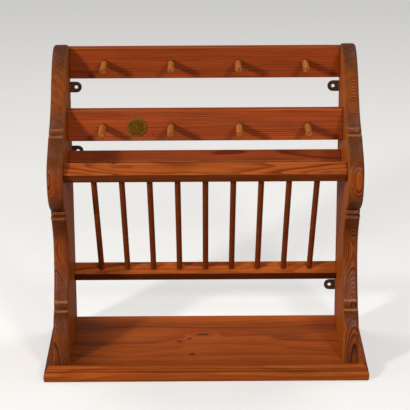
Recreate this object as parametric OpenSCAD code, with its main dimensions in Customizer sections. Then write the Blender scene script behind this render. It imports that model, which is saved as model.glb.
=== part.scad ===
// Wall plate rack in stained pine: two scrolled side panels on a moulded base shelf, two peg
// rails, and a leaning row of dowels that holds plates upright.
// Origin: middle of the bounding box, on the floor. X runs along the rack, the front faces -Y.
// In the side view a point is [u, z]: u is the distance forward of the back plane, z the height.

/* [Side panels] */
// Clear width between the side panels
inner_w = 540; // [500:10:640]
// Thickness of a side panel
side_t = 30; // [27:1:36]
// Height of the crown above the floor
height = 618.5; // [616:0.5:640]
// Furthest reach of the bulge in front of the back plane
bulge_reach = 278; // [272:1:290]
// Height of the bulge's foremost point
bulge_z = 421; // [415:1:428]
// Depth of the panel at its waist
waist_reach = 173; // [160:1:182]
// Height of the waist
waist_z = 244; // [230:1:260]
// Depth of the foot where it stands on the base shelf
foot_reach = 252; // [246:1:254]
// Rounding along the front and crown edges
edge_r = 6; // [3:0.5:7]
// Easing of the straight back edges
back_ease = 0.8; // [0.4:0.2:1.2]

/* [Base shelf] */
// Thickness of the base shelf
base_t = 30; // [28:1:34]
// Depth of the shelf's flat top, up to the arris of the moulding
base_flat = 258; // [256:1:264]
// How far the flat top runs past each side panel
base_ledge = 9; // [6:1:16]
// How far the moulding stands out from the arris
mould_out = 11; // [9.5:0.5:13]
// Radius of the small round at the arris
arris_r = 5; // [4:0.5:5.5]
// Radius of the fine bead
bead_r = 2; // [1.6:0.2:2.2]
// Radius of the large round
torus_r = 8; // [7:0.5:9]

/* [Peg rails] */
// Height of each rail board
rail_h = 63; // [60:1:70]
// Thickness of each rail board
rail_t = 19; // [17:1:22]
// Drop from the crown to the upper rail's lower edge
upper_rail_drop = 68.7; // [68:0.1:76]
// Gap between the wall plane and the upper rail's back
upper_rail_back = 1; // [0:0.5:3]
// Height of the lower rail's lower edge
lower_rail_z = 451.2; // [448:0.2:456]
// Reach of the lower rail's front face
lower_rail_reach = 127; // [120:1:132]
// Easing of the rail edges
rail_ease = 2.5; // [1.5:0.5:4]

/* [Pegs and medallion] */
// Number of pegs on each rail
peg_count = 4; // [2:1:4]
// Distance between pegs
peg_pitch = 133; // [110:1:150]
// Diameter of a peg
peg_d = 13; // [12:0.5:16]
// Length of a peg in front of the rail
peg_len = 65; // [40:1:75]
// Diameter of the tenon at the back of a peg
tenon_d = 10; // [8:0.5:11]
// Length of that tenon
tenon_len = 12; // [8:1:14]
// Height of the upper pegs above the rail's lower edge
upper_peg_rise = 32.7; // [26:0.1:38]
// Height of the lower pegs above the rail's lower edge
lower_peg_rise = 31.3; // [26:0.1:34]
// Diameter of the medallion
medal_d = 37; // [30:1:42]
// Thickness of the medallion at its rim
medal_t = 3.4; // [2.6:0.2:4.4]
// Height of the medallion above the lower rail's lower edge
medal_rise = 28.8; // [24:0.2:32]

/* [Plate dowels and their bars] */
// Number of dowels
dowel_count = 9; // [5:2:9]
// Distance between dowels, which is the plate slot plus a dowel
dowel_pitch = 53.5; // [48:0.5:58]
// Diameter of a dowel
dowel_d = 11.5; // [9:0.5:13]
// Depth that a dowel is let into each bar
dowel_seat = 12; // [8:1:14]
// Width of each bar, across its slope
bar_w = 29.5; // [28:0.5:33]
// Thickness of each bar
bar_t = 27; // [25:1:29]
// Easing of the bar edges
bar_ease = 3; // [1.5:0.5:4]
// Forward lean of the dowels from upright, in degrees
lean = 38.1; // [34:0.1:39]
// Gap between the wall plane and the lower bar's back corner
lower_bar_back = 1; // [0.5:0.5:6]
// Height of the middle of the lower bar's top face
lower_bar_z = 150; // [144:1:156]
// Height of the middle of the upper bar's top face
upper_bar_z = 434.6; // [428:0.2:438]
// Reach of the middle of the back bar's top face
back_bar_u = 93; // [86:1:100]
// Height of the middle of the back bar's top face
back_bar_z = 411; // [402:1:414]

/* [Hangers] */
// Width of a hanger's round tongue
tongue_w = 22; // [18:1:24]
// Distance of the hanging hole in from the side panel
hole_reach = 12; // [11:0.5:18]
// Diameter of the hanging hole
hang_hole_d = 7; // [5:0.5:8]
// Thickness of a hanger plate
plate_t = 2; // [1.5:0.5:2.5]
// Drop from the crown to the middle of the upper hangers
upper_hanger_drop = 90.5; // [88:0.5:105]
// Drop from the crown to the middle of the left panel's second hanger
middle_hanger_drop = 224.5; // [200:0.5:240]
// Height of the lower hanger on the right
lower_hanger_z = 100; // [90:1:110]

/* [Joinery] */
// Diameter of the pins between a rail and a side panel
rail_pin_d = 8; // [6:0.5:9]
// Diameter of the pins between a bar and a side panel
bar_pin_d = 6; // [5:0.5:7]
// Depth of each pin in a side panel, and as much in the rail or bar
pin_depth = 15; // [10:1:18]
// Clearance all round a pin, a tenon or a dowel in its bore
fit = 0.1; // [0.05:0.05:0.2]
// Clearance at the closed end of a bore
end_play = 0.3; // [0.2:0.1:0.6]
// Diameter of the screws that hold the base to a side panel
base_screw_d = 5; // [4:0.5:6]
// Length of those screws
base_screw_len = 60; // [50:1:70]
// Diameter of the hanger screws
hanger_screw_d = 3.5; // [3:0.5:4]
// Length of the hanger screws
hanger_screw_len = 20; // [16:1:26]

/* [Hidden] */
$fn = 48;
depth = max(bulge_reach, base_flat + mould_out);
back_y = depth / 2;
base_w = inner_w + 2 * side_t + 2 * base_ledge + 2 * mould_out;

// Side view stations, from the crown down to the foot
crown_drop_back = 4;
crown_back = [0, height - crown_drop_back];
crown_top = [24, height];
shoulder = [107, height - 51];
ledge_1 = [193.5, bulge_z + 73];
step_1 = [2.5, -6];
shelf_1 = [16, -2];
bulge = [bulge_reach, bulge_z];
ledge_2 = [208, bulge_z - 88];
step_2 = [2, -6];
groove_2 = [-3, -2];
bead_2 = [[4, -1.5], [6, -5], [4, -8.5]];
bead_2_end = [0, -9.5];
waist = [waist_reach, waist_z];
ledge_3 = [209, base_t + 114];
step_3 = [1, -10];
shelf_3 = [9, -5];
foot = [foot_reach, base_t];

// The curves between the stations: the pull at the start, the pull at the end, and the steps
to_crown_top = [[6, 2.5], [-10, 0], 4];
to_shoulder = [[24, 0], [-23, 29], 9];
to_ledge_1 = [[18, -24], [-43, 11], 12];
to_bulge = [[28, -26], [0, 36], 12];
to_ledge_2 = [[0, -48], [44, 19], 13];
to_waist = [[-12, -18], [0, 31], 9];
to_ledge_3 = [[0, -39], [-21, 28], 10];
to_foot = [[21, -11], [-4, 50], 9];
back_land = 10;
back_steps = 11;
round_steps = 4;

// Joinery that follows from the driving sizes
upper_rail_z = height - upper_rail_drop;
upper_hanger_z = height - upper_hanger_drop;
middle_hanger_z = height - middle_hanger_drop;
lean_dir = [sin(lean), cos(lean)];
slope_dir = [cos(lean), -sin(lean)];
lower_bar_u = lower_bar_back + bar_w / 2 * cos(lean) + bar_t * sin(lean);
lower_bar = [lower_bar_u, lower_bar_z];
upper_bar = [lower_bar_u + (upper_bar_z - lower_bar_z) * tan(lean), upper_bar_z];
back_bar_c = [back_bar_u, back_bar_z];
upper_rail_reach = upper_rail_back + rail_t;
rail_pin_inset = 16;
bar_pin_off = 7;
hanger_base_w = 18;
hanger_base_h = 38;
hanger_screw_off = 12;
hanger_inset = 3;
medal_x = -peg_pitch;
medal_pin_d = 4;
medal_pin_len = 7;
medal_rim_w = 2.6;
medal_dish = 0.9;
medal_dome = 0.5;
medal_edge_r = 1;
groove_drop = 1.2;
quirk_drop = 0.6;
quirk_rise = 0.2;
bead_out = 3.2;
bead_neck = 0.6;
torus_neck = 0.4;
bead_z = base_t - arris_r - groove_drop - bead_r;
torus_z = bead_z - bead_r - quirk_drop - torus_r;
lower_taper = 0.8;
lower_arris = 3;
base_screw_inset = 40;
base_screw_places = [base_screw_inset, foot_reach / 2, foot_reach - base_screw_inset];
head_ratio = 1.9;
peg_tip_r = 2;

// How far a cutter or a joined piece runs past the face that it meets
overrun = 1;

// Colours of the stained pine, its darker end grain and the metals
pine = [0.56, 0.27, 0.15];
pine_light = [0.66, 0.36, 0.18];
pine_dark = [0.42, 0.20, 0.11];
brass = [0.55, 0.42, 0.22];
dark_iron = [0.16, 0.12, 0.10];

dowel_names = [for (i = [1 : dowel_count]) str("dowel_", i)];
upper_peg_names = [for (i = [1 : peg_count]) str("upper_peg_", i)];
lower_peg_names = [for (i = [1 : peg_count]) str("lower_peg_", i)];

// A cubic curve from a to b, without b; shape holds its pulls and its number of steps
function curve(a, b, shape) = [
    for (i = [0 : shape[2] - 1])
        let (t = i / shape[2], s = 1 - t, pa = a + shape[0], pb = b + shape[1])
        s * s * s * a + 3 * s * s * t * pa + 3 * s * t * t * pb + t * t * t * b
];

// Points on an arc about c, from angle a0 to a1
function arc(c, r, a0, a1, n) = [
    for (i = [0 : n]) let (a = a0 + (a1 - a0) * i / n) c + r * [cos(a), sin(a)]
];

// The crown and front edge of a side panel, down to the foot
groove_low = ledge_2 + step_2 + groove_2;
front_edge = concat(
    curve(crown_back, crown_top, to_crown_top),
    curve(crown_top, shoulder, to_shoulder),
    curve(shoulder, ledge_1, to_ledge_1),
    [ledge_1, ledge_1 + step_1],
    curve(ledge_1 + step_1 + shelf_1, bulge, to_bulge),
    curve(bulge, ledge_2, to_ledge_2),
    [ledge_2, ledge_2 + step_2, groove_low],
    [for (p = bead_2) groove_low + p],
    curve(groove_low + bead_2_end, waist, to_waist),
    curve(waist, ledge_3, to_ledge_3),
    [ledge_3, ledge_3 + step_3],
    curve(ledge_3 + step_3 + shelf_3, foot, to_foot)
);
back_top = crown_back[1] - back_land;
back_edge = [for (i = [0 : back_steps]) [0, base_t + (back_top - base_t) * i / back_steps]];
outline = concat(back_edge, front_edge, [foot]);

// How each point of the outline moves inwards where the edge is rounded over
function inward(a, b) = let (d = (b - a) / norm(b - a)) [d[1], -d[0]];
function mitre(p, i) =
    let (a = inward(p[i - 1], p[i]), b = inward(p[i], p[i + 1])) (a + b) / (1 + a * b);
last = len(outline) - 1;
inset = [
    for (i = [0 : last])
        i <= back_steps ? [back_ease, 0]
        : i == back_steps + 1 ? [back_ease, -edge_r]
        : i == last ? [-edge_r, 0]
        : edge_r * mitre(outline, i)
];
round_depth = [for (i = [0 : last]) i <= back_steps ? back_ease : edge_r];

// The flat faces are cut into triangles, each front point tied to the back point at its height
function tie(i) =
    i == last ? 0
    : min(back_steps, round(back_steps * (outline[i][1] - base_t) / (back_top - base_t)));
flat_face = [
    for (i = [back_steps + 1 : last - 1])
        each concat([[tie(i), i, i + 1]], [for (k = [tie(i) : -1 : tie(i + 1) + 1]) [k, i + 1, k - 1]])
];

// Rings of the panel across its thickness: outer face, rounding, rounding, inner face
ring_half = [for (k = [0 : round_steps]) 90 * k / round_steps];
function ring(a, x0, dir) = [
    for (i = [0 : last])
        let (p = outline[i] + inset[i] * (1 - sin(a)))
        [x0 + dir * round_depth[i] * (1 - cos(a)), back_y - p[0], p[1]]
];
function panel_points(x0, x1) = concat(
    [for (a = ring_half) each ring(a, x0, 1)],
    [for (k = [round_steps : -1 : 0]) each ring(ring_half[k], x1, -1)]
);
function panel_faces(rings, n) = concat(
    flat_face,
    [for (f = flat_face) let (top = (rings - 1) * n) [top + f[2], top + f[1], top + f[0]]],
    [
        for (k = [0 : rings - 2], i = [0 : n - 1])
            let (j = (i + 1) % n, a = k * n, b = a + n)
            each [[b + i, b + j, a + j], [b + i, a + j, a + i]]
    ]
);

// Places of the pins: [u, z] and diameter, for a rail or a bar
function rail_pins(z, reach) = [
    for (dz = [rail_pin_inset, rail_h - rail_pin_inset])
        [[reach - rail_t / 2, z + dz], rail_pin_d]
];
function bar_pins(c) = [
    for (s = [-1, 1]) [c - lean_dir * bar_t / 2 + s * bar_pin_off * slope_dir, bar_pin_d]
];
upper_rail_pins = rail_pins(upper_rail_z, upper_rail_reach);
lower_rail_pins = rail_pins(lower_rail_z, lower_rail_reach);
all_pins = concat(
    upper_rail_pins, lower_rail_pins, bar_pins(upper_bar), bar_pins(lower_bar),
    bar_pins(back_bar_c)
);
function row_x(i, count, pitch) = (i - (count - 1) / 2) * pitch;

// Turns a side view section into a length along X, centred on the rack
module along_x(len) {
    translate([0, back_y, 0]) rotate([90, 0, -90]) linear_extrude(height = len, center = true)
        children();
}

module at(x, p) {
    translate([x, back_y - p[0], p[1]]) children();
}

module eased_rect(w, t, r) {
    translate([r, 0]) square([w - 2 * r, t]);
    translate([0, r]) square([w, t - 2 * r]);
    for (x = [r, w - r], y = [r, t - r]) translate([x, y]) circle(r);
}

// Pins at both ends of a rail or bar; grow and cut make the bores from the same places
module pins(places, grow, len) {
    for (p = places, s = [-1, 1])
        at(s * inner_w / 2, p[0]) rotate([0, 90, 0])
            cylinder(d = p[1] + 2 * grow, h = len, center = true);
}

module hanger_section(grow) {
    base_x = side_t - hanger_inset - hanger_base_w;
    translate([base_x - grow, -hanger_base_h / 2 - grow])
        square([hanger_base_w + 2 * grow, hanger_base_h + 2 * grow]);
    translate([-hole_reach, -tongue_w / 2 - grow])
        square([hole_reach + base_x + overrun, tongue_w + 2 * grow]);
    translate([-hole_reach, 0]) circle(d = tongue_w + 2 * grow);
}

// Puts a hanger's own plane on the back of a side panel: x outwards, y up, z forward
module on_back(side, z) {
    translate([side * inner_w / 2, back_y, z]) rotate([90, 0, 0])
        mirror([side < 0 ? 1 : 0, 0, 0]) children();
}

module hanger_screw_axes() {
    for (s = [-1, 1])
        translate([side_t - hanger_inset - hanger_base_w / 2, s * hanger_screw_off, 0])
            children();
}

// A countersunk screw standing on its head at z = 0; grow makes the bore for it
module screw(d, len, grow) {
    head_h = d * (head_ratio - 1) / 2;
    cylinder(d1 = head_ratio * d + 2 * grow, d2 = d + 2 * grow, h = head_h);
    cylinder(d = d + 2 * grow, h = len + (grow > 0 ? end_play : 0));
}

module base_screw_axes(side) {
    for (u = base_screw_places) at(side * (inner_w + side_t) / 2, [u, 0]) children();
}

module side_panel(side, hangers) {
    color(pine) difference() {
        mirror([side < 0 ? 1 : 0, 0, 0]) polyhedron(
            points = panel_points(inner_w / 2, inner_w / 2 + side_t),
            faces = panel_faces(2 * (round_steps + 1), len(outline))
        );
        pins(all_pins, 0, 2 * pin_depth);
        base_screw_axes(side) screw(base_screw_d, base_screw_len, fit);
        for (z = hangers) on_back(side, z) {
            translate([0, 0, -overrun]) linear_extrude(height = plate_t + fit + overrun)
                hanger_section(fit);
            hanger_screw_axes() screw(hanger_screw_d, hanger_screw_len, fit);
        }
    }
}

// The edge moulding, as [distance out from the arris, height]: ovolo, groove, bead, quirk, torus
mould_edge = concat(
    [[0, base_t]],
    arc([-1, base_t - arris_r], arris_r, 72, 0, 5),
    [[bead_out - bead_neck, bead_z + bead_r]],
    arc([bead_out, bead_z], bead_r, 80, -60, 6),
    [[bead_out - torus_neck, torus_z + torus_r + quirk_rise]],
    arc([mould_out - torus_r, torus_z], torus_r, 90, 0, 8),
    [[mould_out - lower_taper, lower_arris], [mould_out - lower_taper - lower_arris / 2, 0]]
);

module base_shelf() {
    half_flat = inner_w / 2 + side_t + base_ledge;
    front = [for (p = mould_edge) p + [base_flat, 0]];
    right = [for (p = mould_edge) p + [half_flat, 0]];
    left = [for (i = [len(right) - 1 : -1 : 0]) [-right[i][0], right[i][1]]];
    color(pine) difference() {
        intersection() {
            along_x(base_w + overrun) polygon(concat([[0, 0], [0, base_t]], front));
            translate([0, back_y, 0]) rotate([90, 0, 0]) linear_extrude(height = depth + overrun)
                polygon(concat(left, right));
        }
        for (side = [-1, 1]) base_screw_axes(side) screw(base_screw_d, base_screw_len, fit);
    }
}

module peg_rail(z, reach, places, rise) {
    difference() {
        along_x(inner_w) translate([reach - rail_t, z]) eased_rect(rail_t, rail_h, rail_ease);
        pins(places, 0, 2 * pin_depth);
        for (i = [0 : peg_count - 1])
            at(row_x(i, peg_count, peg_pitch), [reach, z + rise]) rotate([90, 0, 0])
                cylinder(d = tenon_d + 2 * fit, h = 2 * (tenon_len + end_play), center = true);
    }
}

module upper_peg_rail() {
    color(pine) peg_rail(upper_rail_z, upper_rail_reach, upper_rail_pins, upper_peg_rise);
}

module lower_peg_rail() {
    color(pine) difference() {
        peg_rail(lower_rail_z, lower_rail_reach, lower_rail_pins, lower_peg_rise);
        at(medal_x, [lower_rail_reach, lower_rail_z + medal_rise]) rotate([90, 0, 0])
            cylinder(d = medal_pin_d + 2 * fit, h = 2 * (medal_pin_len + end_play), center = true);
    }
}

// A bar that leans square to the dowels; c is the middle of its top face
module dowel_bar(c) {
    difference() {
        along_x(inner_w) translate(c) rotate(-lean)
            translate([-bar_w / 2, -bar_t]) eased_rect(bar_w, bar_t, bar_ease);
        pins(bar_pins(c), 0, 2 * pin_depth);
    }
}

dowel_span = norm(upper_bar - lower_bar) - bar_t;

// The dowel at x; grow and play make it the bore instead
module dowel_rod(x, grow, play) {
    at(x, lower_bar) rotate([lean, 0, 0])
        translate([0, 0, -dowel_seat - play])
            cylinder(d = dowel_d + 2 * grow, h = dowel_span + 2 * (dowel_seat + play));
}

module dowel_bores() {
    for (i = [0 : dowel_count - 1]) dowel_rod(row_x(i, dowel_count, dowel_pitch), fit, end_play);
}

module upper_dowel_bar() {
    color(pine_dark) difference() {
        dowel_bar(upper_bar);
        dowel_bores();
    }
}

module lower_dowel_bar() {
    color(pine_dark) difference() {
        dowel_bar(lower_bar);
        dowel_bores();
    }
}

module back_bar() {
    color(pine_dark) dowel_bar(back_bar_c);
}

module dowel(i) {
    color(pine_light) dowel_rod(row_x(i, dowel_count, dowel_pitch), 0, 0);
}

module peg(i, z, reach) {
    tip = arc([peg_d / 2 - peg_tip_r, peg_len - peg_tip_r], peg_tip_r, 0, 90, 6);
    color(pine_light) at(row_x(i, peg_count, peg_pitch), [reach, z]) rotate([90, 0, 0])
        rotate_extrude() polygon(concat(
            [[0, -tenon_len], [tenon_d / 2, -tenon_len], [tenon_d / 2, 0], [peg_d / 2, 0]],
            tip,
            [[0, peg_len]]
        ));
}

// A plain disc with a raised rim and a shallow dish, on a short pin
module medallion() {
    rim = medal_d / 2;
    color(brass) at(medal_x, [lower_rail_reach, lower_rail_z + medal_rise]) rotate([90, 0, 0])
        rotate_extrude() polygon(concat(
            [[0, -medal_pin_len], [medal_pin_d / 2, -medal_pin_len], [medal_pin_d / 2, 0]],
            [[rim, 0]],
            arc([rim - medal_edge_r, medal_t - medal_edge_r], medal_edge_r, 0, 90, 4),
            [[rim - medal_rim_w, medal_t], [rim - medal_rim_w - medal_dish, medal_t - medal_dish]],
            [[0, medal_t - medal_dish + medal_dome]]
        ));
}

module hanger(side, z) {
    color(dark_iron) on_back(side, z) difference() {
        linear_extrude(height = plate_t) hanger_section(0);
        translate([-hole_reach, 0, -overrun])
            cylinder(d = hang_hole_d, h = plate_t + 2 * overrun);
        hanger_screw_axes() screw(hanger_screw_d, hanger_screw_len, fit);
    }
}

module hanger_screws() {
    color(dark_iron) {
        for (s = [-1, 1]) on_back(s, upper_hanger_z) hanger_screw_axes()
            screw(hanger_screw_d, hanger_screw_len, 0);
        on_back(-1, middle_hanger_z) hanger_screw_axes()
            screw(hanger_screw_d, hanger_screw_len, 0);
        on_back(1, lower_hanger_z) hanger_screw_axes()
            screw(hanger_screw_d, hanger_screw_len, 0);
    }
}

module joint_pins() {
    color(pine_light) pins(all_pins, -fit, 2 * (pin_depth - end_play));
}

module base_screws() {
    color(dark_iron) for (side = [-1, 1])
        base_screw_axes(side) screw(base_screw_d, base_screw_len, 0);
}

side_panel(-1, [upper_hanger_z, middle_hanger_z]);  // left_side
side_panel(1, [upper_hanger_z, lower_hanger_z]);  // right_side
base_shelf();
upper_peg_rail();
lower_peg_rail();
upper_dowel_bar();
lower_dowel_bar();
back_bar();
for (i = [0 : dowel_count - 1]) dowel(i);
for (i = [0 : peg_count - 1]) peg(i, upper_rail_z + upper_peg_rise, upper_rail_reach);
for (i = [0 : peg_count - 1]) peg(i, lower_rail_z + lower_peg_rise, lower_rail_reach);
medallion();
hanger(-1, upper_hanger_z);  // hanger_upper_left
hanger(-1, middle_hanger_z);  // hanger_middle_left
hanger(1, upper_hanger_z);  // hanger_upper_right
hanger(1, lower_hanger_z);  // hanger_lower_right
hanger_screws();
joint_pins();
base_screws();
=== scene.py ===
from math import cos, radians, sin

import bmesh
import bpy
from mathutils import Matrix, Vector


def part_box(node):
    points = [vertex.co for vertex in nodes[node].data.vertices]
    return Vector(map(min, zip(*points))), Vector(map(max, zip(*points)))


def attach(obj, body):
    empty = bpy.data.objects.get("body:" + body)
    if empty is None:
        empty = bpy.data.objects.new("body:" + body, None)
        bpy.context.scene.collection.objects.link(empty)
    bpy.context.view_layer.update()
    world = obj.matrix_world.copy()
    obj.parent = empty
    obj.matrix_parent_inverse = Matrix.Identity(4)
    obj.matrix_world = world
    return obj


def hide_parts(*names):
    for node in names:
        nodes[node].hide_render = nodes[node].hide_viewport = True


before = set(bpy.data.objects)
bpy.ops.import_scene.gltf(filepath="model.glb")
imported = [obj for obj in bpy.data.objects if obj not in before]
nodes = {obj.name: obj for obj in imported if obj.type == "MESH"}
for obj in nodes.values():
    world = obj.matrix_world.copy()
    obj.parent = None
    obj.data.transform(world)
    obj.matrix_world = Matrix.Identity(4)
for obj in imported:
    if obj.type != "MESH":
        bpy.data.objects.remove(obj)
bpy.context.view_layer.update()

scene = bpy.context.scene


# The viewpoint. The photograph was taken standing in front of the rack with a long lens,
# looking down a little; its place was found from the rack's own edges.
FRAME_PX = 410
SENSOR_MM = 36.0
FOCAL_PX = 1781.8
EYE = Vector((-0.0106, -3.3347, 1.4470))
LOOK_DOWN = radians(18.634)
TURN = radians(-0.168)
TILT = radians(0.275)

camera_data = bpy.data.cameras.new("viewpoint")
camera_data.sensor_width = SENSOR_MM
camera_data.lens = FOCAL_PX * SENSOR_MM / FRAME_PX
camera = bpy.data.objects.new("viewpoint", camera_data)
scene.collection.objects.link(camera)
camera.matrix_world = (
    Matrix.Translation(EYE)
    @ Matrix.Rotation(TURN, 4, "Z")
    @ Matrix.Rotation(radians(90) - LOOK_DOWN, 4, "X")
    @ Matrix.Rotation(-TILT, 4, "Z")
)
scene.camera = camera


# The studio. A pale floor without edges in view, a low key from the front left and a weaker one
# from the right, which throw the two shadows of each peg, and soft light from above and from
# high at the sides.
scene.view_settings.view_transform = "Standard"


def linear(red, green, blue):
    """A colour as it is seen on screen, 0 to 255, turned into the values that shaders take."""
    parts = []
    for value in (red, green, blue):
        part = value / 255
        parts.append(part / 12.92 if part <= 0.04045 else ((part + 0.055) / 1.055) ** 2.4)
    return (*parts, 1.0)


def add_node(tree, kind, wires=None, **settings):
    """Adds a shader node, then sets or wires its inputs by name or place."""
    made = tree.nodes.new(kind)
    for name, value in settings.items():
        setattr(made, name, value)
    for socket, value in (wires or {}).items():
        if isinstance(value, bpy.types.NodeSocket):
            tree.links.new(value, made.inputs[socket])
        else:
            made.inputs[socket].default_value = value
    return made


def calc(tree, operation, *values, clamp=False):
    """One step of arithmetic on sockets or numbers."""
    wires = dict(enumerate(values))
    return add_node(tree, "ShaderNodeMath", wires, operation=operation, use_clamp=clamp).outputs[0]


def soft_step(tree, value, low, high, start=0.0, end=1.0):
    """Rises smoothly from start to end while the value goes from low to high."""
    wires = {"Value": value, "From Min": low, "From Max": high, "To Min": start, "To Max": end}
    step = add_node(tree, "ShaderNodeMapRange", wires, interpolation_type="SMOOTHSTEP")
    return step.outputs["Result"]


def blend(tree, share, first, second, how="MIX"):
    """A colour between two colours."""
    mix = add_node(tree, "ShaderNodeMix", data_type="RGBA", blend_type=how, clamp_factor=True)
    for socket, value in ((mix.inputs[0], share), (mix.inputs[6], first), (mix.inputs[7], second)):
        if isinstance(value, bpy.types.NodeSocket):
            tree.links.new(value, socket)
        else:
            socket.default_value = value
    return mix.outputs[2]


def new_material(name):
    """An empty material with a Principled shader; returns it, its tree and the shader."""
    material = bpy.data.materials.new(name)
    material.use_nodes = True
    return material, material.node_tree, material.node_tree.nodes["Principled BSDF"]


def seen(tree):
    """1 where the camera looks, straight or in a reflection, and 0 for the light that bounces."""
    ray = add_node(tree, "ShaderNodeLightPath").outputs
    mirrored = calc(tree, "MAXIMUM", ray["Is Glossy Ray"], ray["Is Transmission Ray"])
    return calc(tree, "MAXIMUM", ray["Is Camera Ray"], mirrored)


FLOOR_TONE = linear(205, 204, 202)
FLOOR_BOUNCE = linear(112, 110, 107)
FLOOR_GLOW = 0.36
FLOOR_GLOW_TINT = (1.0, 0.995, 0.985, 1.0)
FLOOR_ROUGH = 0.85
FLOOR_SHINE = 0.2
FLOOR_HALF = 14.0
BACKDROP_TONE = linear(224, 224, 223)
SKY_LIGHT = 0.13
SKY_TINT = (1.0, 0.99, 0.97, 1.0)

floor_mesh = bpy.data.meshes.new("studio_floor")
floor_mesh.from_pydata(
    [(x * FLOOR_HALF, y * FLOOR_HALF, 0.0) for x, y in ((-1, -1), (1, -1), (1, 1), (-1, 1))],
    [],
    [(0, 1, 2, 3)],
)
floor = bpy.data.objects.new("studio_floor", floor_mesh)
scene.collection.objects.link(floor)
floor_paint, floor_tree, floor_shader = new_material("pale_floor")
floor_seen = seen(floor_tree)
floor_tree.links.new(
    blend(floor_tree, floor_seen, FLOOR_BOUNCE, FLOOR_TONE), floor_shader.inputs["Base Color"]
)
floor_shader.inputs["Emission Color"].default_value = FLOOR_GLOW_TINT
floor_tree.links.new(
    calc(floor_tree, "MULTIPLY", floor_seen, FLOOR_GLOW), floor_shader.inputs["Emission Strength"]
)
floor_shader.inputs["Roughness"].default_value = FLOOR_ROUGH
floor_shader.inputs["Specular IOR Level"].default_value = FLOOR_SHINE
floor_mesh.materials.append(floor_paint)

world = bpy.data.worlds.new("studio_sky")
scene.world = world
world.use_nodes = True
sky_tree = world.node_tree
sky = sky_tree.nodes["Background"]
sky_seen = seen(sky_tree)
sky_tree.links.new(blend(sky_tree, sky_seen, SKY_TINT, BACKDROP_TONE), sky.inputs["Color"])
sky_tree.links.new(
    soft_step(sky_tree, sky_seen, 0.0, 1.0, SKY_LIGHT, 1.0), sky.inputs["Strength"]
)


LAMP_AIM = Vector((0.0, 0.0, 0.35))
WARM = (1.0, 0.98, 0.95)
COOL = (0.94, 0.95, 1.0)
NEUTRAL = (1.0, 0.99, 0.97)


def soft_box(name, side, height, distance, size, watts, tint):
    """A square lamp looking at the middle of the rack, side degrees to the right of the front."""
    side, height = radians(side), radians(height)
    lamp = bpy.data.lights.new(name, "AREA")
    lamp.energy = watts
    lamp.size = size
    lamp.color = tint
    lamp_object = bpy.data.objects.new(name, lamp)
    scene.collection.objects.link(lamp_object)
    away = Vector((sin(side) * cos(height), -cos(side) * cos(height), sin(height)))
    turn = away.to_track_quat("Z", "Y").to_matrix().to_4x4()
    lamp_object.matrix_world = Matrix.Translation(LAMP_AIM + away * distance) @ turn


soft_box("key_light", -40, 20, 4.2, 0.42, 126, WARM)
soft_box("fill_light", 20, 25, 4.2, 0.50, 64, WARM)
soft_box("ceiling_light", 4, 42, 4.2, 0.7, 18, COOL)
soft_box("left_sky_light", -125, 58, 3.0, 1.2, 22, NEUTRAL)
soft_box("right_sky_light", 125, 58, 3.0, 1.2, 26, NEUTRAL)


# The two side panels. Each is one wide pine board with its grain upright, sawn to a scrolled
# outline, rounded over along the front, stained red brown and lacquered; sawn edges drink more
# stain and are darker, and painted shade darkens the edges under the ledges.
WELD = 0.00001
CREASE = radians(32)
SQUARE_ON = 0.9999


def smooth_edges(piece, flat=None):
    """Joins a piece's loose triangles and shades all but its broad faces smooth."""
    for face in piece.data.polygons:
        face.use_smooth = flat is None or abs(face.normal["XYZ".index(flat)]) < SQUARE_ON
    weld = piece.modifiers.new("join", "WELD")
    weld.merge_threshold = WELD
    crease = piece.modifiers.new("crease", "EDGE_SPLIT")
    crease.split_angle = CREASE


def dress(names, material, flat=None):
    """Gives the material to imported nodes; a board's broad faces look along the axis flat."""
    for name in names:
        piece = nodes[name]
        smooth_edges(piece, flat)
        piece.data.materials.clear()
        piece.data.materials.append(material)


def place_of(tree):
    """The place of a point of the surface, in metres."""
    return add_node(tree, "ShaderNodeTexCoord").outputs["Object"]


def parts_of(tree, vector):
    """A vector's three parts."""
    return add_node(tree, "ShaderNodeSeparateXYZ", {0: vector}).outputs


def normal_of(tree):
    """The way that the surface faces."""
    return add_node(tree, "ShaderNodeNewGeometry").outputs["Normal"]


def calc_vector(tree, operation, *values):
    """One step of arithmetic on vectors; returns the node's outputs, Vector and Value."""
    wires = dict(enumerate(values))
    return add_node(tree, "ShaderNodeVectorMath", wires, operation=operation).outputs


def noise(tree, place, scale, detail, rough=0.5):
    """Noise between 0 and 1; its scale is per metre."""
    wires = {"Vector": place, "Scale": scale, "Detail": detail, "Roughness": rough}
    return add_node(tree, "ShaderNodeTexNoise", wires).outputs[0]


def shaded(tree, colour, tone):
    """A colour times a grey tone."""
    grey = add_node(tree, "ShaderNodeCombineColor", {0: tone, 1: tone, 2: tone}).outputs[0]
    return blend(tree, 1.0, colour, grey, "MULTIPLY")


# How much of the colour each kind of grain moves, and how dull the lacquered wood is
FIBRE_SHARE = 0.50
VEIN_SHARE = 0.80
STREAK_SHARE = 0.60
WOOD_ROUGH = 0.42
FIBRE_ROUGH = 0.16
SAWN_ROUGH = 0.14
QUICK_WANDER = 0.12


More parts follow.
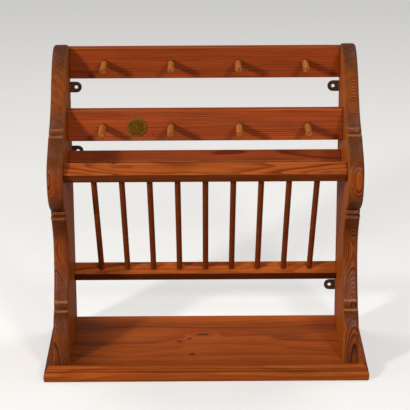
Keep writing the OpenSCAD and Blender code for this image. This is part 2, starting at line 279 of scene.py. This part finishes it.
def make_pine_group():
    """Solid pine: growth rings round a pith line, fibres along it, and darker sawn ends.

    Vector is the place in the board, x along the grain, y and z out from the pith, in metres.
    """
    tree = bpy.data.node_groups.new("solid_pine", "ShaderNodeTree")
    face = tree.interface
    for name, kind in (
        ("Vector", "NodeSocketVector"),
        ("Grain axis", "NodeSocketVector"),
        ("Early wood", "NodeSocketColor"),
        ("Late wood", "NodeSocketColor"),
        ("End grain", "NodeSocketColor"),
        ("Ring width", "NodeSocketFloat"),
        ("Wander", "NodeSocketFloat"),
        ("Ring contrast", "NodeSocketFloat"),
        ("Blotch", "NodeSocketFloat"),
        ("End share", "NodeSocketFloat"),
        ("Bend", "NodeSocketFloat"),
        ("Wear axis", "NodeSocketVector"),
        ("Rub and highlight", "NodeSocketFloat"),
        ("Worn and highlit", "NodeSocketColor"),
    ):
        face.new_socket(name=name, in_out="INPUT", socket_type=kind)
    face.new_socket(name="Color", in_out="OUTPUT", socket_type="NodeSocketColor")
    face.new_socket(name="Height", in_out="OUTPUT", socket_type="NodeSocketFloat")
    face.new_socket(name="Roughness", in_out="OUTPUT", socket_type="NodeSocketFloat")
    given = add_node(tree, "NodeGroupInput").outputs
    result = add_node(tree, "NodeGroupOutput")

    def stretched_noise(along, across, detail, rough=0.5):
        """Noise drawn out along the grain; the two numbers are its scales, per metre."""
        squeeze = calc_vector(tree, "MULTIPLY", given["Vector"], (along, across, across))
        return noise(tree, squeeze["Vector"], 1.0, detail, rough)

    # Radius from the pith, pushed about by slow and quick wandering of the trunk
    _, out_y, out_z = parts_of(tree, given["Vector"])
    square = calc(tree, "MULTIPLY_ADD", out_y, out_y, calc(tree, "MULTIPLY", out_z, out_z))
    radius = calc(tree, "SQRT", square)
    slow = calc(tree, "SUBTRACT", stretched_noise(1.7, 7.0, 2.0), 0.5)
    quick = calc(tree, "SUBTRACT", stretched_noise(7.0, 45.0, 1.0), 0.5)
    pushed = calc(tree, "MULTIPLY_ADD", slow, given["Wander"], radius)
    small_push = calc(tree, "MULTIPLY", given["Wander"], QUICK_WANDER)
    pushed = calc(tree, "MULTIPLY_ADD", quick, small_push, pushed)
    pushed = calc(tree, "ADD", pushed, given["Bend"])

    # Each ring darkens slowly into late wood and starts again sharply
    rings = calc(tree, "DIVIDE", pushed, given["Ring width"])
    place = calc(tree, "FRACT", rings)
    late = calc(
        tree, "MULTIPLY",
        soft_step(tree, place, 0.28, 0.90),
        soft_step(tree, place, 0.93, 1.0, 1.0, 0.0),
    )
    ring_tone = add_node(
        tree, "ShaderNodeTexWhiteNoise", {"W": calc(tree, "FLOOR", rings)}, noise_dimensions="1D"
    ).outputs[0]
    late = calc(tree, "MULTIPLY", late, calc(tree, "MULTIPLY_ADD", ring_tone, 0.75, 0.35))
    late_share = calc(tree, "MULTIPLY", late, given["Ring contrast"], clamp=True)

    # Fibres and streaks along the grain, and the blotches that the stain leaves
    fibre = stretched_noise(22.0, 900.0, 3.0, 0.6)
    vein = stretched_noise(9.0, 300.0, 2.0)
    streak = stretched_noise(3.0, 95.0, 3.0, 0.55)
    blotch = stretched_noise(5.0, 16.0, 3.0)
    wood = blend(tree, late_share, given["Early wood"], given["Late wood"])
    tone = calc(tree, "MULTIPLY_ADD", calc(tree, "SUBTRACT", fibre, 0.5), FIBRE_SHARE, 1.0)
    tone = calc(tree, "MULTIPLY_ADD", calc(tree, "SUBTRACT", vein, 0.5), VEIN_SHARE, tone)
    tone = calc(tree, "MULTIPLY_ADD", calc(tree, "SUBTRACT", streak, 0.5), STREAK_SHARE, tone)
    spread = calc(tree, "SUBTRACT", blotch, 0.5)
    tone = calc(tree, "MULTIPLY_ADD", spread, given["Blotch"], tone)
    wood = shaded(tree, wood, tone)

    # Sawn ends: where the surface faces along the grain the stain sinks in
    normal = normal_of(tree)
    facing = calc_vector(tree, "DOT_PRODUCT", normal, given["Grain axis"])["Value"]
    sawn = soft_step(tree, calc(tree, "ABSOLUTE", facing), 0.18, 0.92)
    sawn = calc(tree, "MULTIPLY", sawn, given["End share"])
    pores = soft_step(tree, stretched_noise(60.0, 210.0, 3.0), 0.30, 0.70, 0.62, 1.34)
    end = shaded(tree, given["End grain"], pores)
    end = shaded(tree, end, calc(tree, "MULTIPLY_ADD", late, -0.85, 1.22))
    wood = blend(tree, sawn, wood, end)

    # Pale arrises where the surface turns over an edge: partly thinner stain and lacquer, partly a
    # painted highlight on the rounding
    turned = calc_vector(tree, "DOT_PRODUCT", normal, given["Wear axis"])["Value"]
    turned = calc(tree, "ABSOLUTE", turned)
    over_edge = calc(
        tree, "MULTIPLY",
        soft_step(tree, turned, 0.25, 0.60),
        soft_step(tree, turned, 0.75, 0.96, 1.0, 0.0),
    )
    patchy = soft_step(tree, stretched_noise(14.0, 60.0, 2.0), 0.30, 0.62)
    rubbed_and_highlit = calc(tree, "MULTIPLY", calc(tree, "MULTIPLY", over_edge, patchy), given["Rub and highlight"])
    wood = blend(tree, rubbed_and_highlit, wood, given["Worn and highlit"])

    # The lacquer lies level over the late wood and sinks a little into the open fibres
    height = calc(tree, "MULTIPLY_ADD", fibre, 0.5, calc(tree, "MULTIPLY", late, 0.5))
    rough = calc(tree, "MULTIPLY_ADD", fibre, FIBRE_ROUGH, WOOD_ROUGH)
    rough = calc(tree, "MULTIPLY_ADD", sawn, SAWN_ROUGH, rough)
    tree.links.new(wood, result.inputs["Color"])
    tree.links.new(height, result.inputs["Height"])
    tree.links.new(rough, result.inputs["Roughness"])
    return tree


pine_group = make_pine_group()
GRAIN_ALONG = {
    "X": ((1.0, 0.0, 0.0), (0.0, 0.0, 0.0)),
    "Y": ((0.0, 1.0, 0.0), (0.0, 0.0, radians(-90))),
    "Z": ((0.0, 0.0, 1.0), (0.0, radians(90), 0.0)),
}
LACQUER = 0.11
LACQUER_ROUGH = 0.38
SURFACE_SHINE = 0.0
BUMP_DEPTH = 0.0004
BUMP_STRENGTH = 0.6
# Colour of the pale edges: rubbed wood and painted highlight.
WORN_AND_HIGHLIT_WOOD = linear(160, 100, 48)
KNOT_HEART = linear(70, 40, 22)
KNOT_RAGGED = 0.9
KNOT_REACH = 3.2
KNOT_SHARE = 0.85


def pine(name, grain, pith, early, late, end, ring=0.005, wander=0.02, contrast=0.8,
         blotch=0.35, end_share=0.8, turn=None, axis=None, rub_and_highlight=0.0, wear_axis=(0.0, 0.0, 1.0),
         knots=(), cup=0.0):
    """A lacquered pine material for one board.

    grain is the row axis that the fibres follow, pith a point on the heart of the tree, and turn
    and axis stand in for grain where a stick leans. The edge amount makes the edges of the faces
    that wear_axis points out of paler, partly as rubbed stain and partly as painted highlight.
    Each knot is its middle, its half sizes and how far it pushes rings, and cup arches the rings
    across an upright board.
    """
    material, tree, shader = new_material(name)
    grain_axis, grain_turn = GRAIN_ALONG[grain]
    if turn is not None:
        grain_axis, grain_turn = axis, turn
    place = place_of(tree)
    moved = calc_vector(tree, "SUBTRACT", place, pith)["Vector"]
    turned = add_node(
        tree, "ShaderNodeMapping", {"Vector": moved, "Rotation": grain_turn}, vector_type="POINT"
    )
    wood = add_node(tree, "ShaderNodeGroup", node_tree=pine_group, name="wood")
    wires = {
        "Grain axis": grain_axis, "Early wood": early, "Late wood": late, "End grain": end,
        "Ring width": ring, "Wander": wander, "Ring contrast": contrast, "Blotch": blotch,
        "End share": end_share, "Wear axis": wear_axis, "Rub and highlight": rub_and_highlight, "Worn and highlit": WORN_AND_HIGHLIT_WOOD,
    }
    for socket, value in wires.items():
        wood.inputs[socket].default_value = value
    tree.links.new(turned.outputs[0], wood.inputs["Vector"])
    colour, bend = wood.outputs["Color"], None
    ragged = calc(tree, "SUBTRACT", noise(tree, place, 120.0, 2.0), 0.5)
    for middle, halves, push in knots:
        offset = calc_vector(tree, "SUBTRACT", place, middle)["Vector"]
        scaled = calc_vector(tree, "DIVIDE", offset, halves)["Vector"]
        away = calc_vector(tree, "LENGTH", scaled)["Value"]
        away = calc(tree, "MULTIPLY_ADD", ragged, KNOT_RAGGED, away)
        pushed = soft_step(tree, away, 0.0, KNOT_REACH, push, 0.0)
        bend = pushed if bend is None else calc(tree, "ADD", bend, pushed)
        heart = soft_step(tree, away, 0.55, 1.15, KNOT_SHARE, 0.0)
        colour = blend(tree, heart, colour, KNOT_HEART)
    if cup:
        across = parts_of(tree, moved)[0]
        arch = calc(tree, "MULTIPLY", calc(tree, "MULTIPLY", across, across), cup)
        bend = arch if bend is None else calc(tree, "ADD", bend, arch)
    if bend is not None:
        tree.links.new(bend, wood.inputs["Bend"])
    tree.links.new(colour, shader.inputs["Base Color"])
    tree.links.new(wood.outputs["Roughness"], shader.inputs["Roughness"])
    bump = add_node(
        tree, "ShaderNodeBump",
        {"Height": wood.outputs["Height"], "Distance": BUMP_DEPTH, "Strength": BUMP_STRENGTH},
    )
    tree.links.new(bump.outputs[0], shader.inputs["Normal"])
    shader.inputs["Specular IOR Level"].default_value = SURFACE_SHINE
    shader.inputs["Coat Weight"].default_value = LACQUER
    shader.inputs["Coat Roughness"].default_value = LACQUER_ROUGH
    return material, tree, shader


def recolour(tree, shader, change, *more):
    """Puts one more step between a wood colour and the shader."""
    colour = shader.inputs["Base Color"].links[0].from_socket
    tree.links.new(change(tree, colour, *more), shader.inputs["Base Color"])


# Along the front edge the colour goes by height: darker on the crown, under the ledges and at the
# foot, partly deeper stain and partly painted shade under the overhangs. The arrises of the ledges
# and beads are painted pale, partly rubbed stain and partly painted highlight, and hands have
# polished the lacquer. The tones go by height alone, so the back edge has them too.
# The tone table holds heights in metres and the tone at each, PALE_ARRISES heights, half widths
# and shares.
STAIN_AND_SHADE_TONES = (
    (0.030, 0.25), (0.060, 0.34), (0.085, 0.42), (0.122, 0.28), (0.155, 0.40), (0.240, 0.50),
    (0.295, 0.38), (0.335, 0.34), (0.365, 0.52), (0.420, 0.58), (0.450, 0.40), (0.480, 0.32),
    (0.500, 0.40), (0.530, 0.62), (0.575, 0.56), (0.600, 0.34), (0.6185, 0.28),
)
PALE_ARRISES = (
    (0.4940, 0.0009, 0.70), (0.4853, 0.0012, 0.75), (0.3325, 0.0010, 0.60),
    (0.3185, 0.0024, 0.60), (0.1455, 0.0022, 0.85), (0.1296, 0.0014, 0.85),
)
PALE_WOOD = linear(158, 100, 54)
FACE_TONE = (0.78, 0.90, 1.0, 1.0)
HEIGHT_TOP = 0.6185
TONE_BAND_WAVE = 0.008
ARRIS_JAG = 0.0032
POLISH = 0.12


def edge_share(tree):
    """1 on the front, back and top edges of a side panel and 0 on its faces."""
    sideways = calc(tree, "ABSOLUTE", parts_of(tree, normal_of(tree))[0])
    return soft_step(tree, sideways, 0.55, 0.95, 1.0, 0.0)


def front_edge_colour(tree, colour):
    """Stain and painted shade by height on a panel's edges, and pale arrises with painted
    highlight.
    """
    place = place_of(tree)
    height = parts_of(tree, place)[2]
    uneven = noise(tree, place, 45.0, 2.0)
    fleck = noise(tree, place, 420.0, 2.0)
    wavy = calc(tree, "MULTIPLY_ADD", calc(tree, "SUBTRACT", uneven, 0.5), TONE_BAND_WAVE, height)
    # The height ramp darkens the edges, partly as stain and partly as painted shade.
    ramp = tree.nodes.new("ShaderNodeValToRGB")
    ramp.color_ramp.interpolation = "EASE"
    stops = ramp.color_ramp.elements
    while len(stops) < len(STAIN_AND_SHADE_TONES):
        stops.new(0.5)
    for stop, (level, tone) in zip(stops, STAIN_AND_SHADE_TONES):
        stop.position = level / HEIGHT_TOP
        stop.color = (tone, tone, tone, 1.0)
    tree.links.new(calc(tree, "DIVIDE", wavy, HEIGHT_TOP), ramp.inputs[0])
    on_edge = edge_share(tree)
    stain_and_shade = blend(tree, on_edge, FACE_TONE, ramp.outputs[0])
    colour = blend(tree, 1.0, colour, stain_and_shade, "MULTIPLY")
    jagged = calc(tree, "MULTIPLY_ADD", calc(tree, "SUBTRACT", fleck, 0.5), ARRIS_JAG, height)
    patchy_arris = calc(
        tree, "MULTIPLY",
        soft_step(tree, uneven, 0.25, 0.55, 0.45, 1.0),
        soft_step(tree, fleck, 0.30, 0.58, 0.35, 1.0),
    )
    # Pale arris lines: partly rubbed stain and partly painted highlight on the ledges and beads.
    for level, half, share in PALE_ARRISES:
        gap = calc(tree, "ABSOLUTE", calc(tree, "SUBTRACT", jagged, level))
        line = soft_step(tree, gap, half * 0.4, half * 1.5, share, 0.0)
        line = calc(tree, "MULTIPLY", line, patchy_arris)
        colour = blend(tree, calc(tree, "MULTIPLY", line, on_edge), colour, PALE_WOOD)
    return colour


def shortest_way(start, end, rim):
    """The corners along the rim from start to end, the short way round."""
    ways = []
    for first in (edge for edge in start.link_edges if edge in rim):
        way, edge = [start], first
        while way[-1] is not end:
            way.append(edge.other_vert(way[-1]))
            edge = next(other for other in way[-1].link_edges if other in rim and other is not edge)
        ways.append(way)
    return min(ways, key=len)


FOLD_START = (-0.05493, 0.32350)
FOLD_END = (-0.06437, 0.32078)


def panel_board(name):
    """A side panel whose two flat faces are filled afresh.

    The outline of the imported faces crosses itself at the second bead, where their triangles fold
    over each other and show as a crack. Between FOLD_START and FOLD_END, places in Y and Z, the
    bead gets a face of its own.
    """
    low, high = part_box(name)
    work = bmesh.new()
    work.from_mesh(nodes[name].data)
    bmesh.ops.remove_doubles(work, verts=work.verts, dist=WELD)
    for plane, side in ((low.x, -1.0), (high.x, 1.0)):
        old = {
            face for face in work.faces
            if all(abs(vert.co.x - plane) < WELD for vert in face.verts)
        }
        rim = {edge for face in old for edge in face.edges if set(edge.link_faces) - old}
        inner = {edge for face in old for edge in face.edges} - rim
        bmesh.ops.delete(work, geom=list(old), context="FACES_ONLY")
        bmesh.ops.delete(work, geom=list(inner), context="EDGES")
        corners = {vert for edge in rim for vert in edge.verts}
        start, end = (
            min(corners, key=lambda vert: (vert.co - Vector((plane, *spot))).length)
            for spot in (FOLD_START, FOLD_END)
        )
        bead = shortest_way(start, end, rim)
        chord = work.edges.new((start, end))
        skipped = {edge for edge in rim if set(edge.verts) <= set(bead)}
        filled = bmesh.ops.triangle_fill(
            work, use_beauty=True, use_dissolve=False, edges=list(rim - skipped) + [chord],
            normal=(side, 0.0, 0.0),
        )
        for face in filled["geom"]:
            if isinstance(face, bmesh.types.BMFace) and face.normal.x * side < 0.0:
                face.normal_flip()
        cap = work.faces.new(bead)
        cap.normal_update()
        if cap.normal.x * side < 0.0:
            cap.normal_flip()
    mesh = bpy.data.meshes.new(name + "_board")
    work.to_mesh(mesh)
    work.free()
    board = bpy.data.objects.new(name + "_board", mesh)
    scene.collection.objects.link(board)
    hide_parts(name)
    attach(board, "root")
    return board


RINGS_ON_EDGE = 1.25
RINGS_ON_FACE = 0.45
NECK_KNOT = ((0.2840, -0.011, 0.5535), (0.003, 0.02, 0.003), 0.001)
for name, pith_shift, pith_y, cup, lift, ring, early, knots in (
    ("left_side", -0.022, -0.1750, 14.0, 0.35, 0.0036, linear(174, 84, 28), ()),
    ("right_side", 0.006, -0.1769, 38.0, -0.30, 0.0042, linear(184, 88, 24), (NECK_KNOT,)),
):
    low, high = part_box(name)
    panel_paint, panel_tree, panel_shader = pine(
        name + "_pine", "Z", ((low.x + high.x) / 2 + pith_shift, pith_y, lift),
        early, linear(84, 26, 8), linear(130, 70, 29),
        ring=ring, wander=0.026, blotch=0.45, end_share=0.7,
        rub_and_highlight=0.22, wear_axis=(1.0, 0.0, 0.0), knots=knots, cup=cup,
    )
    recolour(panel_tree, panel_shader, front_edge_colour)
    panel_edge = edge_share(panel_tree)
    panel_tree.links.new(
        calc(panel_tree, "MULTIPLY_ADD", panel_edge, POLISH, LACQUER),
        panel_shader.inputs["Coat Weight"],
    )
    panel_tree.links.new(
        soft_step(panel_tree, panel_edge, 0.0, 1.0, RINGS_ON_FACE, RINGS_ON_EDGE),
        panel_tree.nodes["wood"].inputs["Ring contrast"],
    )
    board = panel_board(name)
    smooth_edges(board, "X")
    board.data.materials.append(panel_paint)


# The base shelf. One flat-sawn board with its grain along the rack, a worked moulding on the
# front and the ends, and a few old knots in the top near the middle.
SHELF_KNOTS = (
    ((-0.006, 0.038, 0.030), (0.016, 0.007, 0.05), 0.012),
    ((-0.034, 0.018, 0.030), (0.005, 0.004, 0.05), 0.006),
    ((-0.054, 0.002, 0.030), (0.006, 0.005, 0.05), 0.008),
    ((-0.028, -0.063, 0.030), (0.007, 0.007, 0.05), 0.014),
)
shelf_paint, shelf_tree, shelf_shader = pine(
    "base_shelf_pine", "X", (0.6, 0.02, -0.16),
    linear(166, 80, 27), linear(120, 46, 12), linear(108, 48, 16),
    ring=0.0075, wander=0.05, contrast=0.6, blotch=0.4, end_share=0.7, knots=SHELF_KNOTS,
)
FRONT_DARK = 0.78
# Tone of the painted shadow that the left side panel throws on the top.
LEFT_SHADOW_TONE = 0.52


def darker_front_and_left_shadow(tree, colour):
    """Darker towards the front edge, with a painted shadow of the left panel at the left end."""
    along, depth, _ = parts_of(tree, place_of(tree))
    tone = soft_step(tree, depth, -0.112, -0.080, FRONT_DARK, 1.0)
    # Painted shadow of the left side panel over the left end of the top.
    corner = soft_step(tree, along, -0.262, -0.150, LEFT_SHADOW_TONE, 1.0)
    corner = calc(tree, "MAXIMUM", corner, soft_step(tree, depth, -0.105, -0.118))
    return shaded(tree, colour, calc(tree, "MULTIPLY", tone, corner))


recolour(shelf_tree, shelf_shader, darker_front_and_left_shadow)
dress(["base_shelf"], shelf_paint, "Z")


# The two peg rails. Quarter-sawn pine boards with straight close grain, pinned between the side
# panels, the lower one further forward; each has one small knot.
# Painted shade in the joints, where a board's ends meet the side panels.
END_SHADE_FROM = 0.2665
END_SHADE_FULL = 0.2698
END_SHADE_TONE = 0.45
UPPER_RAIL_KNOT = ((-0.141, 0.119, 0.595), (0.0022, 0.01, 0.0018), 0.001)
LOWER_RAIL_KNOT = ((-0.102, 0.012, 0.4647), (0.0025, 0.01, 0.0020), 0.001)


def shaded_ends(tree, colour):
    """Painted shade: a dark line where a board's ends meet the side panels."""
    reach = calc(tree, "ABSOLUTE", parts_of(tree, place_of(tree))[0])
    tone = soft_step(tree, reach, END_SHADE_FROM, END_SHADE_FULL, 1.0, END_SHADE_TONE)
    return shaded(tree, colour, tone)


for name, shift, early, contrast, ring, knot in (
    ("upper_peg_rail", 0.30, linear(132, 56, 21), 0.45, 0.0056, UPPER_RAIL_KNOT),
    ("lower_peg_rail", -0.45, linear(149, 67, 31), 0.75, 0.0043, LOWER_RAIL_KNOT),
):
    low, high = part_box(name)
    rail_paint, rail_tree, rail_shader = pine(
        name + "_pine", "X", (shift, high.y + 0.03, low.z - 0.35),
        early, linear(94, 33, 10), linear(80, 32, 12),
        ring=ring, wander=0.016, contrast=contrast, blotch=0.65, end_share=0.6,
        rub_and_highlight=0.5, wear_axis=(0.0, 1.0, 0.0), knots=(knot,),
    )
    recolour(rail_tree, rail_shader, shaded_ends)
    dress([name], rail_paint, "Y")


# The mug pegs. Short turned pins of paler wood, each glued into its rail by a 12 mm tenon, with
# painted shade darkening each one round its root.
TENON = 0.012
ROOT_SHADE_REACH = 0.018
ROOT_SHADE_TONE = 0.42


def shaded_root(tree, colour, root):
    """A ring of painted shade where a peg leaves its rail."""
    depth = parts_of(tree, place_of(tree))[1]
    start = root - ROOT_SHADE_REACH
    return shaded(tree, colour, soft_step(tree, depth, start, root - 0.001, 1.0, ROOT_SHADE_TONE))


peg_names = [name for name in nodes if "_peg_" in name and name[-1].isdigit()]
for number, name in enumerate(sorted(peg_names)):
    low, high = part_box(name)
    middle = (low + high) / 2
    peg_paint, peg_tree, peg_shader = pine(
        name + "_pine", "Y", (middle.x + 0.03, middle.y + 0.2 * number, middle.z - 0.02),
        linear(168, 98, 42), linear(104, 54, 22), linear(138, 76, 36),
        ring=0.0034, wander=0.010, contrast=0.7, blotch=1.2, end_share=0.9,
    )
    recolour(peg_tree, peg_shader, shaded_root, high.y - TENON)
    dress([name], peg_paint)


# The three leaning bars. The upper and lower ones hold the dowels; the back one stops the
# plates. Sawn from wide boards, so the grain opens out into long tongues.
upper_low, upper_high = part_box("upper_dowel_bar")
lower_low, lower_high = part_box("lower_dowel_bar")
run = (upper_low + upper_high - lower_low - lower_high) / 2
lean_axis = Vector((0.0, run.y, run.z)).normalized()
BAR_KNOT = ((-0.175, -0.103, 0.4430), (0.005, 0.003, 0.003), 0.008)
under_axis = Vector((0.0, -lean_axis.z, lean_axis.y))


def shaded_under(tree, colour, tone):
    """Painted shade on the lower face of a bar, with painted shade lines at its ends."""
    facing = calc_vector(tree, "DOT_PRODUCT", normal_of(tree), tuple(under_axis))["Value"]
    # Painted shade on the faces that look down and forward.
    shade = soft_step(tree, facing, 0.60, 0.95, 1.0, tone)
    return shaded(tree, shaded_ends(tree, colour), shade)


# under is the tone of the painted shade on each bar's lower face.
for name, shift, early, late, wander, under, knots in (
    ("upper_dowel_bar", 0.15, linear(149, 72, 27), linear(92, 31, 8), 0.09, 0.62, (BAR_KNOT,)),
    ("lower_dowel_bar", -0.25, linear(156, 76, 28), linear(100, 36, 10), 0.06, 0.34, ()),
    ("back_bar", 0.55, linear(129, 57, 26), linear(88, 32, 12), 0.04, 0.60, ()),
):
    low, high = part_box(name)
    bar_paint, bar_tree, bar_shader = pine(
        name + "_pine", "X", (shift, high.y + 0.06, low.z - 0.07),
        early, late, linear(88, 40, 16),
        ring=0.0050, wander=wander, contrast=0.95, blotch=0.35, end_share=0.6,
        rub_and_highlight=0.7, wear_axis=tuple(lean_axis), knots=knots,
    )
    recolour(bar_tree, bar_shader, shaded_under, under)
    dress([name], bar_paint)


# The plate dowels. Nine plain pine rods, stained a shade darker than the boards, set into bores
# in the upper and the lower leaning bar.
dowel_names = sorted(name for name in nodes if name.startswith("dowel_"))
for number, name in enumerate(dowel_names):
    low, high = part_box(name)
    middle = (low + high) / 2
    dowel_paint, _, _ = pine(
        name + "_pine", "Z", (middle.x + 0.012, middle.y + 0.008, middle.z + 0.3 * number),
        linear(128, 58, 22), linear(84, 34, 12), linear(96, 50, 22),
        ring=0.0032, wander=0.006, contrast=0.7, blotch=0.4, end_share=0.5,
        axis=tuple(lean_axis), turn=(0.0, radians(90), 0.0),
    )
    dress([name], dowel_paint)


# The medallion. A cast disc with a raised rim round a plain dished face. The brass has browned
# with age, and only the rim is rubbed a little brighter.
RIM_START = 0.0150
RIM_SOFTNESS = 0.0012
BRASS_METAL = 0.55
BRASS_SHINE = 0.1
BRASS_BUMP = 0.0006
brass, brass_tree, brass_shader = new_material("antique_brass")
medal_low, medal_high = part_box("medallion")
brass_place = place_of(brass_tree)
medal_middle = tuple((medal_low + medal_high) / 2)
from_middle = calc_vector(brass_tree, "SUBTRACT", brass_place, medal_middle)["Vector"]
in_plane = calc_vector(brass_tree, "MULTIPLY", from_middle, (1.0, 0.0, 1.0))["Vector"]
radius = calc_vector(brass_tree, "LENGTH", in_plane)["Value"]
cloudy = noise(brass_tree, brass_place, 190.0, 4.0)
dish = blend(
    brass_tree, soft_step(brass_tree, cloudy, 0.38, 0.62), linear(80, 50, 5), linear(102, 68, 9)
)
rubbed_rim = calc(
    brass_tree, "MULTIPLY",
    soft_step(brass_tree, radius, RIM_START, RIM_START + RIM_SOFTNESS),
    soft_step(brass_tree, cloudy, 0.30, 0.60, 0.35, 1.0),
)
brass_tree.links.new(
    blend(brass_tree, rubbed_rim, dish, linear(118, 86, 28)), brass_shader.inputs["Base Color"]
)
brass_tree.links.new(
    soft_step(brass_tree, cloudy, 0.3, 0.7, 0.58, 0.40), brass_shader.inputs["Roughness"]
)
brass_shader.inputs["Metallic"].default_value = BRASS_METAL
brass_shader.inputs["Specular IOR Level"].default_value = BRASS_SHINE
brass_bump = add_node(
    brass_tree, "ShaderNodeBump", {"Height": cloudy, "Distance": BRASS_BUMP, "Strength": 0.5}
)
brass_tree.links.new(brass_bump.outputs[0], brass_shader.inputs["Normal"])
dress(["medallion"], brass)


# The hangers. Four stamped steel mirror plates with a round tongue, bronzed dark brown, each
# let into the back of a side panel and held by two screws of the same finish.
bronzed, bronzed_tree, bronzed_shader = new_material("bronzed_steel")
mottle = noise(bronzed_tree, place_of(bronzed_tree), 260.0, 3.0)
bronzed_tree.links.new(
    blend(
        bronzed_tree, soft_step(bronzed_tree, mottle, 0.40, 0.68),
        linear(66, 42, 32), linear(98, 66, 48),
    ),
    bronzed_shader.inputs["Base Color"],
)
bronzed_tree.links.new(
    soft_step(bronzed_tree, mottle, 0.3, 0.7, 0.55, 0.40), bronzed_shader.inputs["Roughness"]
)
bronzed_shader.inputs["Metallic"].default_value = 0.5
hanger_names = sorted(name for name in nodes if name.startswith("hanger_"))
dress(hanger_names, bronzed)


# Hidden joinery. Beech pins join the rails and bars to the side panels, and bright steel screws
# come up through the base shelf into the panels' feet.
plain_steel, _, steel_shader = new_material("plain_steel")
steel_shader.inputs["Base Color"].default_value = linear(170, 168, 164)
steel_shader.inputs["Metallic"].default_value = 1.0
steel_shader.inputs["Roughness"].default_value = 0.35
dress(["base_screws"], plain_steel)
pin_paint, _, _ = pine(
    "joint_pin_beech", "X", (0.0, 0.1, 0.2),
    linear(196, 158, 110), linear(170, 126, 82), linear(160, 118, 78),
    ring=0.002, wander=0.002, contrast=0.4,
)
dress(["joint_pins"], pin_paint)
